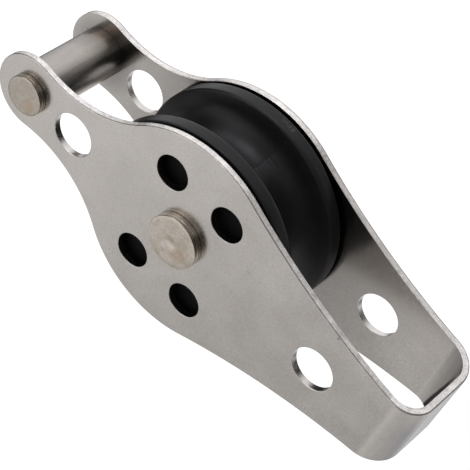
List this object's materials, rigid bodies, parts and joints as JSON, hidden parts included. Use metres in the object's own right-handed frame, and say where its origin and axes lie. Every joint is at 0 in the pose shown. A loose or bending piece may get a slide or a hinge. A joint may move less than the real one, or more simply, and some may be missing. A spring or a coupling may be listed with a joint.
{
  "type": "single becket block",
  "caption": "Small rigging block: a folded sheet-steel strap holds a grooved sheave on a riveted axle, with an eye in the head and a becket spacer across the ears.",
  "frame": {"origin": "on the axis of the head eye, midway between the two cheeks", "axes": "+Z along the load line from the sheave to the folded head, +Y along the axle from the rivets' flat made heads to their closed heads, +X across the cheeks"},
  "size_m": [0.0316, 0.0176, 0.0723],
  "materials": {
    "stainless_sheet": "satin punched and folded sheet with lighter sheared edges",
    "rivet_steel": "turned, with fine rings on the head",
    "tube_steel": "drawn, satin",
    "black_nylon": "moulded, with a soft sheen in the groove"
  },
  "bodies": {
    "frame": {"strap": "stainless_sheet", "axle_rivet": "rivet_steel", "axle_bush": "tube_steel", "becket_rivet": "rivet_steel", "becket_spacer": "tube_steel"},
    "sheave": {"sheave": "black_nylon"}
  },
  "joints": [
    {"name": "sheave_spin", "type": "hinge", "parent": "frame", "child": "sheave", "pos_m": [0, 0, -0.0242], "axis": [0, 1, 0], "continuous": true}
  ]
}
